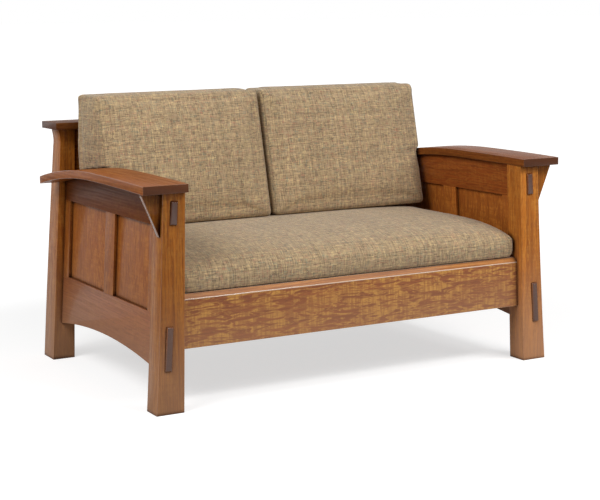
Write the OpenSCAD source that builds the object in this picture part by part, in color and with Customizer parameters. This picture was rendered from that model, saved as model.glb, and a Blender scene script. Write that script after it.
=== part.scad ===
// Shaker loveseat with bow arms, panelled sides and loose cushions.
// The pieces are drawn with X across the seat, Y back from the front posts' front faces and Z up
// from the floor, and then moved so that the origin is the middle of the footprint.
// The right side is drawn, and the left side is its mirror image.

/* [Main sizes] */
// Clear width between the front posts, just under the arms
seat_clear_w = 1172; // [1000:1:1500]
// Distance from the front posts' faces back to the rear posts' front faces, at the floor
frame_d = 836; // [780:1:900]
// Height of the seat frame's top, where the cushion rests
seat_top = 338; // [310:1:380]
// Height of the arm's top at the crown of its bow
arm_crown_z = 665; // [640:1:700]
// Height of the cap's lower face
cap_z = 766; // [740:1:860]

/* [Front posts] */
// Depth of a front post
front_post_d = 72; // [50:1:100]
// Width of a front post at the floor
front_foot_w = 86; // [76:1:110]
// Width of a front post under the arm
front_top_w = 69; // [60:1:76]
// How far the inner face leans in between the floor and the arm
front_in_lean = 20; // [4:1:30]
// How far a front post's outer edge is hollowed by its long sweep
front_sweep = 2.8; // [0:0.1:8]

/* [Rear posts] */
// How much further out than the front posts the rear posts stand
rear_set_out = 21; // [10:1:30]
// Width of a rear post at the floor
rear_foot_w = 74; // [60:1:110]
// Width of a rear post under the cap, before its flare
rear_top_w = 47; // [38:1:70]
// How far the inner face leans in between the floor and the cap
rear_in_lean = 25; // [0:1:40]
// How far a rear post's front face leans forward up to the cap
rear_front_lean = 12; // [0:1:30]
// Depth of a rear post at the floor
rear_foot_d = 91; // [80:1:130]
// Depth of a rear post under the cap
rear_top_d = 65; // [60:1:90]
// How far a rear post's back edge is rounded out by its long curve
rear_sweep = 5.8; // [0:0.1:10]
// Radius of the small flare under the cap
flare_r = 120; // [60:1:200]
// How far that flare reaches outward
flare_out = 8; // [2:0.5:12]

/* [Arms] */
// Thickness of an arm
arm_t = 24; // [18:0.5:30]
// Width of an arm
arm_w = 138; // [120:1:170]
// How far an arm reaches inside the front post
arm_in_past = 2; // [0:0.5:10]
// How far an arm reaches in front of the front posts
arm_front = 20; // [5:1:60]
// How far an arm reaches round the rear post
arm_rear_past = 4; // [0:1:20]
// Place of the crown of the bow, as a share of the frame's depth
arm_crown_share = 0.443; // [0.35:0.005:0.6]
// Drop of the arm from its crown to its front end
arm_front_drop = 5; // [2:0.5:20]
// Drop of the arm from its crown to its rear end
arm_rear_drop = 50; // [10:1:54]

/* [Corbels] */
// Thickness of a corbel
corbel_t = 20; // [12:0.5:30]
// Distance from the front post's face back to the corbel
corbel_set = 11; // [4:1:24]
// Reach of a corbel from the post, under the arm
corbel_reach = 58; // [30:1:60]
// Width left at a corbel's foot
corbel_foot = 9; // [5:0.5:20]
// Height of a corbel
corbel_h = 130; // [80:1:180]
// Height of the blunt end at its tip
corbel_tip = 7; // [3:0.5:20]

/* [Side frames] */
// Distance from a front post's inner face out to the side frame's outer face, at the floor
side_set_out = 71; // [66:1:74]
// Angle at which the side frames lean in
side_cant = 3.8; // [2:0.1:4.4]
// Thickness of the rails and stiles of a side frame
side_t = 32; // [28:1:38]
// Height of the bottom rail's top edge
bottom_rail_top = 283; // [260:1:320]
// Height of the arch under the bottom rail, at its middle
bottom_rail_arch = 154; // [140:1:160]
// Radius of the arch under the bottom rail
bottom_arch_r = 2450; // [2300:10:4000]
// How far the arch's middle is in front of the rail's middle
bottom_arch_shift = 14; // [0:1:30]
// Height of the top rail, from its lower edge to the level of the arm's crown
top_rail_h = 130; // [115:1:150]
// Width of the front stile
front_stile_w = 55; // [40:1:90]
// Width of the middle stile
middle_stile_w = 76; // [50:1:110]
// How far the middle stile is in front of the middle between the others
middle_stile_shift = 22; // [0:1:40]
// Width of the rear stile, at its lower end
rear_stile_w = 56; // [40:1:90]
// Thickness of a panel
panel_t = 12; // [8:0.5:16]
// Depth of the groove that holds the panels
groove_d = 8; // [6:0.5:10]

/* [Tenons] */
// Thickness of the side rails' tenons
tenon_t = 21; // [14:0.5:22]
// How far the front tenons stand proud of the post
tenon_proud = 6; // [4:0.5:12]
// Chamfer round the proud ends of the front tenons
tenon_chamfer = 3; // [1:0.5:4]
// Shoulder below the top rail's tenon
top_tenon_shoulder = 12; // [6:1:20]
// Width of the top rail's tenon, at the front
top_tenon_w = 67; // [40:1:75]
// Wood left above the top rail's tenon at the rear, where the arm is lower
top_tenon_rear_room = 10; // [6:1:20]
// Shoulder above the bottom rail's tenon
bottom_tenon_shoulder = 27; // [12:1:27]
// Width of the bottom rail's tenon
bottom_tenon_w = 128; // [90:1:128]
// Length of the tenons inside the rear posts
rear_tenon_l = 32; // [20:1:34]
// Thickness of the cross rails' tenons
cross_tenon_t = 12; // [8:0.5:16]
// Length of the cross rails' tenons
cross_tenon_l = 32; // [15:1:34]
// Length of the crest rail's tenons
crest_tenon_l = 26; // [15:1:30]
// Shoulder above and below a cross rail's tenon
cross_shoulder = 12; // [6:1:20]

/* [Seat frame] */
// Thickness of the front and rear seat rails
seat_rail_t = 25; // [20:1:32]
// Height of the front and rear seat rails
seat_rail_h = 159; // [100:1:180]
// Distance from the front posts' faces back to the front rail
front_rail_set = 26; // [10:1:40]
// Size of the chamfer along the front rail's top edge
rail_chamfer = 15; // [4:0.5:20]
// Distance from a rear post's front face at the floor back to the rear seat rail
rear_rail_set = 18; // [17:1:30]
// Width and height of a cleat
cleat = 25; // [20:1:40]
// Room between a cleat's end and the front posts
cleat_end_room = 14; // [8:1:40]
// Width of a seat slat
seat_slat_w = 70; // [50:1:90]
// Thickness of a seat slat
seat_slat_t = 20; // [15:1:28]
// Distance from a cleat's end to the outermost slat
seat_slat_inset = 4; // [0:1:20]
// Number of screws in each cleat
cleat_screw_count = 6; // [3:1:9]
// Distance from a cleat's end to its outermost screw
cleat_screw_inset = 60; // [40:1:100]
// Shank diameter of a cleat screw
screw_d = 4; // [3:0.5:6]
// Length of a cleat screw
screw_l = 40; // [32:1:42]

/* [Back frame] */
// Thickness of the cap
cap_t = 22; // [16:1:30]
// Depth of the cap
cap_d = 138; // [120:1:180]
// How far the cap reaches in front of the rear posts
cap_front = 41; // [20:1:60]
// How far the cap reaches past the rear posts at each end
cap_overhang = 30; // [15:1:60]
// Thickness of the crest rail and the lower back rail
back_rail_t = 24; // [18:1:30]
// Distance from the rear posts' front faces back to the back rails
back_rail_set = 16; // [14:1:24]
// Height of the crest rail, from its lower edge to the cap
crest_h = 144; // [50:1:160]
// Height of the lower back rail
back_rail_h = 60; // [40:1:90]
// Height of the lower back rail's lower edge above the seat frame
back_rail_rise = 62; // [20:1:90]
// Width of a back slat
back_slat_w = 74; // [50:1:90]
// Thickness of a back slat
back_slat_t = 12; // [8:0.5:16]
// Length of a back slat's tenons
back_slat_tenon = 14; // [8:1:20]
// Shoulder at each edge of a back slat's tenon
back_slat_shoulder = 6; // [3:1:12]

/* [Cushions] */
// Thickness of the seat cushion at its crown
seat_cushion_t = 124; // [100:1:140]
// How far the seat cushion's front stands behind the front rail's face
seat_cushion_set = 6; // [0:1:20]
// Room between the seat cushion and the rear posts
seat_cushion_back_room = 30; // [20:1:80]
// Room between the seat cushion's ends and the front posts
seat_cushion_end_room = 2.6; // [1:0.1:40]
// How far the seat cushion's top falls toward its front
seat_front_drop = 43; // [20:1:50]
// How far the seat cushion's top falls toward its ends
seat_end_drop = 13; // [0:1:30]
// How far the seat cushion's top falls toward its back
seat_back_drop = 14; // [0:1:30]
// Radius of the seat cushion's rolled front edge
seat_roll_r = 40; // [20:1:42]
// Height of a back cushion
back_cushion_h = 421; // [380:1:470]
// Thickness of a back cushion at its top
back_cushion_t = 142; // [100:1:160]
// How far a back cushion's front face leans back up to its top
back_cushion_lean = 98; // [60:1:110]
// How far a back cushion's back face leans
back_cushion_back_lean = 44; // [20:1:60]
// Crown of a back cushion's front face
back_cushion_crown = 14; // [4:1:24]
// Room between a back cushion's end and the arm
back_cushion_end_room = 2; // [1:0.5:40]
// Room between a back cushion's top and the cap's front edge
back_cushion_cap_room = 7; // [2:1:20]
// How far a back cushion swells over the arm at its back
back_cushion_swell = 29; // [0:1:34]
// How much more it swells just above the arm
back_cushion_low_swell = 13; // [0:1:20]
// How far the back cushions' parting sits left of the middle
back_parting = 15; // [0:1:30]
// Radius of the cushions' other edges
cushion_edge_r = 16; // [10:1:24]

/* [Clearances] */
// Gap round a tenon, a tongue and a rail's shoulder
joint_gap = 0.2; // [0.1:0.05:0.4]
// Gap between a piece and what it rests on
rest_gap = 0.2; // [0.1:0.05:0.4]
// Room past the end of a tenon or a panel
end_gap = 1.5; // [1:0.25:3]
// Gap between a cushion and what it touches
soft_gap = 0.4; // [0.3:0.1:1]

/* [Hidden] */
// Longer than the whole loveseat, for blanks and cuts
big = 3000;
// Segments of the arms' arcs, so that no facet stands off by more than 0.1 mm
long_fn = 3600;
round_fn = 48;
// Flats of a gentle curve along a post
curve_steps = 10;

// How far a cut runs past the piece that it cuts
past = 5;
// Numbers of slats, each of which is a node of its own
seat_slat_count = 9;
back_slat_count = 9;

front_top_in = seat_clear_w / 2;
front_foot_in = front_top_in + front_in_lean;
front_top_out = front_top_in + front_top_w;
front_foot_out = front_foot_in + front_foot_w;
side_out = front_foot_in + side_set_out;

rear_post_y = frame_d;
rear_top_y = rear_post_y - rear_front_lean;
rear_foot_in = front_foot_in + rear_set_out;
rear_top_in = rear_foot_in - rear_in_lean;
rear_foot_out = rear_foot_in + rear_foot_w;
rear_top_out = rear_top_in + rear_top_w;
rear_post_h = cap_z - rest_gap;

arm_bottom_z = arm_crown_z - arm_t;
arm_in = front_top_in - arm_in_past;
arm_crown_y = frame_d * arm_crown_share;
arm_rear_y = rear_post_y + arm_rear_past;

top_rail_low = arm_crown_z - top_rail_h;
top_tenon_low = top_rail_low + top_tenon_shoulder;
top_tenon_rear_w = arm_bottom_z - arm_rear_drop - top_tenon_rear_room - top_tenon_low;
bottom_tenon_low = bottom_rail_top - bottom_tenon_shoulder - bottom_tenon_w;

// Inner face of a front post and of a rear post at a height
function front_in(z) = front_foot_in - front_in_lean * z / arm_bottom_z;
function rear_in(z) = rear_foot_in - rear_in_lean * z / cap_z;

seat_rail_low = seat_top - seat_rail_h;
chamfer_low = seat_top - rail_chamfer;
front_rail_mid_y = front_rail_set + seat_rail_t / 2;
rear_rail_y = rear_post_y + rear_rail_set;
rear_rail_mid_y = rear_rail_y + seat_rail_t / 2;

cap_y = rear_top_y - cap_front;
cap_half = rear_top_out + cap_overhang;
back_rail_y = rear_top_y + back_rail_set;
back_rail_mid_y = back_rail_y + back_rail_t / 2;
back_rail_low = seat_top + back_rail_rise;
crest_low = cap_z - crest_h;

// Front and rear edges of the two panel openings
front_stile_y = front_post_d + joint_gap;
front_open_y = front_stile_y + front_stile_w;
rear_stile_y = rear_post_y - rear_stile_w;
middle_stile_y = (front_open_y + rear_stile_y - middle_stile_w) / 2 - middle_stile_shift;
middle_end_y = middle_stile_y + middle_stile_w;
groove_t = panel_t + 2 * joint_gap;

cleat_z = seat_top - seat_slat_t - rest_gap - cleat;
cleat_half = front_top_in - cleat_end_room;
front_cleat_y = front_rail_set + seat_rail_t + joint_gap;
rear_cleat_y = rear_rail_y - joint_gap - cleat;
screw_pitch = 2 * (cleat_half - cleat_screw_inset) / (cleat_screw_count - 1);
screw_head_d = 2 * screw_d;
screw_head_h = screw_d * 0.75;
seat_slat_pitch = 2 * (cleat_half - seat_slat_w / 2 - seat_slat_inset) / (seat_slat_count - 1);
back_slat_pitch = 2 * rear_in(crest_low) / (back_slat_count + 0.2);

seat_crown_z = seat_top + seat_cushion_t;
seat_cushion_half = front_in(seat_crown_z) - seat_cushion_end_room;
seat_cushion_y = front_rail_set + seat_cushion_set;
seat_cushion_back = rear_post_y - seat_cushion_back_room;
back_cushion_foot = seat_crown_z + soft_gap;
back_cushion_half = arm_in - back_cushion_end_room;
// Places of the tops of a back cushion's back and front faces
back_cushion_back_y = cap_y - back_cushion_cap_room;
back_cushion_front_y = back_cushion_back_y - back_cushion_t;

// Middle of the footprint, from the arms' front ends to the rear posts' heels
mid_y = (rear_post_y + rear_foot_d - arm_front) / 2;

oak = "#a8703c";
oak_dark = "#8a4f2a";
tweed = "#a8957a";
steel = "#8d8f92";

// Placing

// Moves its children to the shared origin, on the left side or on the right
module placed(left = false) {
    translate([0, -mid_y, 0]) if (left) {
        mirror([1, 0, 0]) children();
    } else {
        children();
    }
}

// Turns a front-view outline (X, Z) into a board between two places along Y
module front_view(y0, y1) {
    translate([0, y1, 0]) rotate([90, 0, 0]) linear_extrude(y1 - y0) children();
}

// Turns a side-view outline (Y, Z) into a board between two places along X
module side_view(x0, x1) {
    translate([x0, 0, 0]) rotate([90, 0, 90]) linear_extrude(x1 - x0) children();
}

// The canted plane of a side frame: X = 0 is its outer face, and Z runs up its slope
module in_side_frame() {
    translate([side_out, 0, 0]) rotate([0, -side_cant, 0]) children();
}

// A block by its two opposite corners
module block(low, high) {
    translate(low) cube(high - low);
}

// Long curves

// Points of a gentle curve from p to q that bows out to its right-hand side by rise
function gentle(p, q, rise) =
    let (d = q - p, side = [d[1], -d[0]] / norm(d))
    [for (i = [0 : curve_steps])
        let (t = i / curve_steps)
        p + d * t + side * rise * 4 * t * (1 - t)];

// Radius of the arc that drops by d over a run of l from a level start
function drop_radius(l, d) = (l * l + d * d) / (2 * d);

bow_front_r = drop_radius(arm_crown_y + arm_front, arm_front_drop);
bow_rear_r = drop_radius(arm_rear_y - arm_crown_y, arm_rear_drop);

// Height of the arm's underside at a place near its front end
function under_arm(y) =
    arm_crown_z - bow_front_r + sqrt(pow(bow_front_r - arm_t, 2) - pow(y - arm_crown_y, 2));

// Side view of everything under the bow at a depth below the arm's top face
module under_bow(depth) {
    intersection() {
        translate([arm_crown_y, arm_crown_z - bow_front_r])
            circle(r = bow_front_r - depth, $fn = long_fn);
        translate([-arm_front - past, 0]) square([arm_crown_y + arm_front + past, arm_crown_z]);
    }
    intersection() {
        translate([arm_crown_y, arm_crown_z - bow_rear_r])
            circle(r = bow_rear_r - depth, $fn = long_fn);
        translate([arm_crown_y, 0]) square([arm_rear_y - arm_crown_y + past, arm_crown_z]);
    }
}

// Cuts its children off under the arm between two places near its front end, where the bow is nearly flat
module cut_under_arm(y0, y1) {
    intersection() {
        children();
        side_view(0, big) polygon([
            [y0, 0], [y1, 0], [y1, under_arm(y1) - rest_gap], [y0, under_arm(y0) - rest_gap]
        ]);
    }
}

// Posts

// Front view of a front post, grown by a gap on both sides
module front_post_outline(grow = 0) {
    foot = [front_foot_out + grow, 0];
    top = [front_top_out + grow, arm_bottom_z];
    polygon(concat(
        [[front_foot_in - grow, 0]],
        gentle(foot, top, -front_sweep),
        [[front_top_in - grow, arm_bottom_z]]
    ));
}

// Front view of a rear post: a taper with a small flare under the cap, grown by a gap on both sides
module rear_post_outline(grow = 0) {
    out_slope = (rear_foot_out - rear_top_out) / cap_z;
    flare_h = sqrt(2 * flare_r * flare_out - flare_out * flare_out);
    polygon([
        [rear_foot_in - grow, 0], [rear_foot_out + grow, 0],
        [rear_top_out + grow, rear_post_h], [rear_top_in - grow, rear_post_h]
    ]);
    difference() {
        translate([rear_top_out - past, rear_post_h - flare_h])
            square([flare_out + past + grow, flare_h]);
        translate([rear_top_out + flare_h * out_slope + flare_r + grow, rear_post_h - flare_h])
            circle(r = flare_r, $fn = round_fn * 2);
    }
}

// Side view of a rear post: a leaning front edge and a long curved back edge
module rear_post_side() {
    heel = [rear_post_y + rear_foot_d, 0];
    top = [rear_top_y + rear_top_d, rear_post_h];
    polygon(concat([[rear_post_y, 0]], gentle(heel, top, rear_sweep), [[rear_top_y, rear_post_h]]));
}

// A cross rail's tenon at the right end, or its mortise where it is grown by a gap
module cross_tenon(root_x, length, y_mid, low, high, grow = 0) {
    block(
        [root_x - rear_set_out - past, y_mid - cross_tenon_t / 2 - grow, low + cross_shoulder - grow],
        [root_x + length + grow, y_mid + cross_tenon_t / 2 + grow, high - cross_shoulder + grow]
    );
}

module front_rail_tenon(grow = 0) {
    cross_tenon(front_in(seat_top), cross_tenon_l, front_rail_mid_y, seat_rail_low, chamfer_low, grow);
}

module rear_rail_tenon(grow = 0) {
    cross_tenon(rear_in(seat_top), cross_tenon_l, rear_rail_mid_y, seat_rail_low, seat_top, grow);
}

module lower_rail_tenon(grow = 0) {
    high = back_rail_low + back_rail_h;
    cross_tenon(rear_in(back_rail_low), cross_tenon_l, back_rail_mid_y, back_rail_low, high, grow);
}

module crest_tenon(grow = 0) {
    cross_tenon(rear_in(cap_z), crest_tenon_l, back_rail_mid_y, crest_low, cap_z, grow);
}

// A tenon of a side frame, in its own canted plane
module side_tenon(low, width, y0, y1, grow = 0) {
    block(
        [-side_t / 2 - tenon_t / 2 - grow, y0, low - grow],
        [-side_t / 2 + tenon_t / 2 + grow, y1, low + width + grow]
    );
}

// A tenon that goes through a front post and ends in a chamfer all round
module front_tenon(low, width) {
    y0 = -tenon_proud;
    y1 = front_post_d + past;
    x0 = -side_t / 2 - tenon_t / 2;
    x1 = -side_t / 2 + tenon_t / 2;
    c = tenon_chamfer;
    intersection() {
        side_view(x0, x1) polygon([
            [y0, low + c], [y0 + c, low], [y1, low],
            [y1, low + width], [y0 + c, low + width], [y0, low + width - c]
        ]);
        translate([0, 0, low]) linear_extrude(width) polygon([
            [x0 + c, y0], [x1 - c, y0], [x1, y0 + c], [x1, y1], [x0, y1], [x0, y0 + c]
        ]);
    }
}

// The mortise for such a tenon
module front_mortise(low, width) {
    side_tenon(low, width, -past, front_post_d + past, joint_gap);
}

// A blind tenon in a rear post, or its mortise
module rear_tenon(low, width) {
    side_tenon(low, width, rear_top_y - past, rear_top_y + rear_tenon_l);
}

module rear_mortise(low, width) {
    side_tenon(low, width, rear_top_y - past, rear_top_y + rear_tenon_l + end_gap, joint_gap);
}

module front_post(left) {
    color(oak) placed(left) difference() {
        cut_under_arm(0, front_post_d) front_view(0, front_post_d) front_post_outline();
        in_side_frame() {
            front_mortise(top_tenon_low, top_tenon_w);
            front_mortise(bottom_tenon_low, bottom_tenon_w);
        }
        front_rail_tenon(joint_gap);
    }
}

module rear_post_body(grow = 0) {
    intersection() {
        front_view(rear_top_y, rear_post_y + rear_foot_d + past) rear_post_outline(grow);
        side_view(0, big) rear_post_side();
    }
}

module rear_post(left) {
    color(oak) placed(left) difference() {
        rear_post_body();
        in_side_frame() {
            rear_mortise(top_tenon_low, top_tenon_rear_w);
            rear_mortise(bottom_tenon_low, bottom_tenon_w);
        }
        rear_rail_tenon(joint_gap);
        lower_rail_tenon(joint_gap);
        crest_tenon(joint_gap);
    }
}

// Arms and corbels

// Side view of an arm
module arm_outline() {
    difference() {
        under_bow(0);
        under_bow(arm_t);
        translate([arm_rear_y, 0]) square([2 * past, arm_crown_z]);
        translate([-arm_front - 2 * past, 0]) square([2 * past, arm_crown_z]);
    }
}

module arm(left) {
    color(oak_dark) placed(left) difference() {
        side_view(arm_in, arm_in + arm_w) arm_outline();
        translate([0, -joint_gap, 0]) rear_post_body(joint_gap);
    }
}

module corbel(left) {
    y0 = corbel_set;
    tip_x = front_top_out + corbel_reach;
    tip_z = under_arm(y0) - corbel_tip;
    foot_z = arm_bottom_z - corbel_h;
    inner_x = front_top_out - past;
    color(oak_dark) placed(left) cut_under_arm(y0, y0 + corbel_t) front_view(y0, y0 + corbel_t)
        difference() {
            polygon([
                [inner_x, arm_bottom_z], [tip_x, arm_bottom_z], [tip_x, tip_z],
                [front_top_out + corbel_foot, foot_z], [inner_x, foot_z]
            ]);
            front_post_outline(joint_gap);
        }
}

// Side frames

// Cut for everything behind the rear post's leaning front face
module behind_rear_face() {
    side_view(0, big) polygon([
        [rear_post_y - joint_gap, 0], [rear_top_y - joint_gap, cap_z], [big, cap_z], [big, 0]
    ]);
}

// A groove for the panels along a rail, opening upward or downward
module rail_groove(low, high) {
    block(
        [-side_t / 2 - groove_t / 2, front_stile_y - past, low],
        [-side_t / 2 + groove_t / 2, rear_post_y + past, high]
    );
}

module side_top_rail(left) {
    color(oak_dark) placed(left) union() {
        difference() {
            intersection() {
                in_side_frame() block(
                    [-side_t, front_post_d + joint_gap, top_rail_low],
                    [0, rear_post_y, arm_crown_z]
                );
                side_view(0, big) under_bow(arm_t + rest_gap);
            }
            in_side_frame() rail_groove(top_rail_low - past, top_rail_low + groove_d + end_gap);
            behind_rear_face();
        }
        in_side_frame() front_tenon(top_tenon_low, top_tenon_w);
        in_side_frame() rear_tenon(top_tenon_low, top_tenon_rear_w);
    }
}

module side_bottom_rail(left) {
    arch_y = (front_post_d + rear_post_y) / 2 - bottom_arch_shift;
    // Low enough for the arch to cut all of the blank's lower edge
    blank_low = bottom_rail_arch / 2;
    color(oak_dark) placed(left) union() {
        difference() {
            in_side_frame() block(
                [-side_t, front_post_d + joint_gap, blank_low],
                [0, rear_post_y, bottom_rail_top]
            );
            in_side_frame() side_view(-side_t - past, past)
                translate([arch_y, bottom_rail_arch - bottom_arch_r])
                    circle(r = bottom_arch_r, $fn = long_fn);
            in_side_frame() rail_groove(bottom_rail_top - groove_d, bottom_rail_top + past);
            behind_rear_face();
        }
        in_side_frame() front_tenon(bottom_tenon_low, bottom_tenon_w);
        in_side_frame() rear_tenon(bottom_tenon_low, bottom_tenon_w);
    }
}

// A groove for a panel along a stile
module stile_groove(y0, y1) {
    block([-side_t / 2 - groove_t / 2, y0, 0], [-side_t / 2 + groove_t / 2, y1, arm_crown_z]);
}

// A stile with tongues that stand in the rails' grooves, and grooves for the panels
module stile(y0, y1, groove_front, groove_rear) {
    low = bottom_rail_top + joint_gap;
    high = top_rail_low - joint_gap;
    difference() {
        union() {
            block([-side_t, y0, low], [0, y1, high]);
            block(
                [-side_t / 2 - panel_t / 2, y0, low - groove_d + joint_gap],
                [-side_t / 2 + panel_t / 2, y1, high + groove_d]
            );
        }
        if (groove_front) {
            stile_groove(y0 - past, y0 + groove_d);
        }
        if (groove_rear) {
            stile_groove(y1 - groove_d, y1 + past);
        }
    }
}

module front_stile(left) {
    color(oak) placed(left) in_side_frame() stile(front_stile_y, front_open_y, false, true);
}

module middle_stile(left) {
    color(oak) placed(left) in_side_frame() stile(middle_stile_y, middle_end_y, true, true);
}

module rear_stile(left) {
    color(oak) placed(left) difference() {
        in_side_frame() stile(rear_stile_y, rear_post_y, true, false);
        behind_rear_face();
    }
}

// A flat panel between two openings' edges, resting in the bottom rail's groove
module panel(left, y0, y1) {
    color(oak) placed(left) in_side_frame() block(
        [-side_t / 2 - panel_t / 2, y0 - groove_d + end_gap, bottom_rail_top - groove_d + rest_gap],
        [-side_t / 2 + panel_t / 2, y1 + groove_d - end_gap, top_rail_low + groove_d - end_gap]
    );
}

// Seat frame

// Both ends of a cross rail from its right half
module both_ends() {
    children();
    mirror([1, 0, 0]) children();
}

module seat_front_rail() {
    y0 = front_rail_set;
    y1 = y0 + seat_rail_t;
    color(oak) placed() difference() {
        union() {
            difference() {
                side_view(-front_foot_in, front_foot_in) polygon([
                    [y0, seat_rail_low], [y1, seat_rail_low], [y1, seat_top],
                    [y0 + rail_chamfer, seat_top], [y0, chamfer_low]
                ]);
                both_ends() front_view(y0 - past, y1 + past) front_post_outline(joint_gap);
            }
            both_ends() front_rail_tenon();
        }
        cleat_holes(y1, -1, cleat_z);
    }
}

// A rail between the rear posts, cut to their leaning inner faces
module rear_rail_body(y0, y1, low, high) {
    difference() {
        block([-rear_foot_in, y0, low], [rear_foot_in, y1, high]);
        both_ends() front_view(y0 - past, y1 + past) rear_post_outline(joint_gap);
    }
}

module seat_rear_rail() {
    y0 = rear_rail_y;
    color(oak) placed() difference() {
        union() {
            rear_rail_body(y0, y0 + seat_rail_t, seat_rail_low, seat_top);
            both_ends() rear_rail_tenon();
        }
        cleat_holes(y0, 1, cleat_z);
    }
}

// Places one child at each screw, pointing along Y, from the cleat's open face
module at_screws(y, dir, low) {
    for (i = [0 : cleat_screw_count - 1]) {
        translate([-cleat_half + cleat_screw_inset + i * screw_pitch, y, low + cleat / 2])
            rotate([-90 * dir, 0, 0]) children();
    }
}

// Pilot holes in a rail, from its face y going into it along dir
module cleat_holes(y, dir, low) {
    at_screws(y - dir * past, dir, low)
        cylinder(h = screw_l - cleat + end_gap + past, d = screw_d + 2 * joint_gap, $fn = round_fn);
}

// A countersunk screw, or the hole that takes it
module screw(grow = 0) {
    rotate_extrude($fn = round_fn) polygon([
        [0, 0], [screw_head_d / 2 + grow, 0], [screw_d / 2 + grow, screw_head_h],
        [screw_d / 2 + grow, screw_l + grow], [0, screw_l + grow]
    ]);
}

module cleat_bar(y0, face_y, dir) {
    color(oak) placed() difference() {
        block([-cleat_half, y0, cleat_z], [cleat_half, y0 + cleat, cleat_z + cleat]);
        at_screws(face_y, dir, cleat_z) screw(joint_gap);
    }
}

module front_cleat() {
    cleat_bar(front_cleat_y, front_cleat_y + cleat, -1);
}

module rear_cleat() {
    cleat_bar(rear_cleat_y, rear_cleat_y, 1);
}

module cleat_screws() {
    color(steel) placed() {
        at_screws(front_cleat_y + cleat, -1, cleat_z) screw();
        at_screws(rear_cleat_y, 1, cleat_z) screw();
    }
}

module seat_slat(i) {
    x = (i - (seat_slat_count - 1) / 2) * seat_slat_pitch;
    color(oak) placed() block(
        [x - seat_slat_w / 2, front_cleat_y + joint_gap, seat_top - seat_slat_t],
        [x + seat_slat_w / 2, rear_rail_y - 2 * joint_gap, seat_top]
    );
}

// Back frame

module back_cap() {
    color(oak_dark) placed()
        block([-cap_half, cap_y, cap_z], [cap_half, cap_y + cap_d, cap_z + cap_t]);
}

function back_slat_x(i) = (i - (back_slat_count - 1) / 2) * back_slat_pitch;

// Tenons of the back slats, or the mortises in the rails that take them
module back_slat_core(i, grow = 0, extra = 0) {
    block(
        [
            back_slat_x(i) - back_slat_w / 2 + back_slat_shoulder - grow,
            back_rail_mid_y - back_slat_t / 3 - grow,
            back_rail_low + back_rail_h - back_slat_tenon - extra
        ],
        [
            back_slat_x(i) + back_slat_w / 2 - back_slat_shoulder + grow,
            back_rail_mid_y + back_slat_t / 3 + grow,
            crest_low + back_slat_tenon + extra
        ]
    );
}

module back_crest_rail() {
    color(oak) placed() difference() {
        union() {
            rear_rail_body(back_rail_y, back_rail_y + back_rail_t, crest_low, cap_z - rest_gap);
            both_ends() crest_tenon();
        }
        for (i = [0 : back_slat_count - 1]) {
            back_slat_core(i, joint_gap, end_gap);
        }
    }
}

module back_lower_rail() {
    top = back_rail_low + back_rail_h;
    color(oak) placed() difference() {
        union() {
            rear_rail_body(back_rail_y, back_rail_y + back_rail_t, back_rail_low, top);
            both_ends() lower_rail_tenon();
        }
        for (i = [0 : back_slat_count - 1]) {
            back_slat_core(i, joint_gap, end_gap);
        }
    }
}

module back_slat(i) {
    color(oak) placed() union() {
        block(
            [
                back_slat_x(i) - back_slat_w / 2,
                back_rail_mid_y - back_slat_t / 2,
                back_rail_low + back_rail_h + joint_gap
            ],
            [
                back_slat_x(i) + back_slat_w / 2,
                back_rail_mid_y + back_slat_t / 2,
                crest_low - joint_gap
            ]
        );
        back_slat_core(i);
    }
}

// Cushions

// Faces of a closed skin: rings of n points stacked from one end point to the other
function skin_faces(rings, n) =
    let (last = rings * n + 1)
    concat(
        [for (i = [0 : n - 1]) [0, 1 + (i + 1) % n, 1 + i]],
        [for (k = [0 : rings - 2], i = [0 : n - 1], h = [0, 1])
            let (a = 1 + k * n, b = a + n, j = (i + 1) % n)
            h == 0 ? [a + i, a + j, b + j] : [a + i, b + j, b + i]],
        [for (i = [0 : n - 1]) [last, last - n + i, last - n + (i + 1) % n]]
    );

// Unit rounded square, with corner radius c, as points of which each side takes m and each corner q
function rounded_square(c, m, q) = [
    for (s = [0 : 3])
        let (turn = 90 * s)
        for (k = [0 : m + q - 1])
            let (
                p = k < m
                    ? [1, -(1 - c) + 2 * (1 - c) * k / m]
                    : [1 - c + c * cos(90 * (k - m) / q), 1 - c + c * sin(90 * (k - m) / q)]
            )
            [p[0] * cos(turn) - p[1] * sin(turn), p[0] * sin(turn) + p[1] * cos(turn)]
];

side_points = 9;
corner_points = 4;
// Steps of a cushion's rounded edge, from its wall to its face, and how far each has dropped
edge_steps = [0, 0.1, 0.35, 0.7, 1];
function edge_drop(t) = 1 - sqrt(1 - (1 - t) * (1 - t));
// Sizes of the rings across a cushion's face, inside its rounded edge
face_rings = [0.9, 0.76, 0.58, 0.36, 0.15];

// Height of the seat cushion's top at shares u and v of the way from its middle to its edges
function seat_face(u, v) =
    seat_crown_z - seat_end_drop * pow(abs(u), 5)
        - seat_front_drop * pow(max(0, -v), 3.5) - seat_back_drop * pow(max(0, v), 5);

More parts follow.
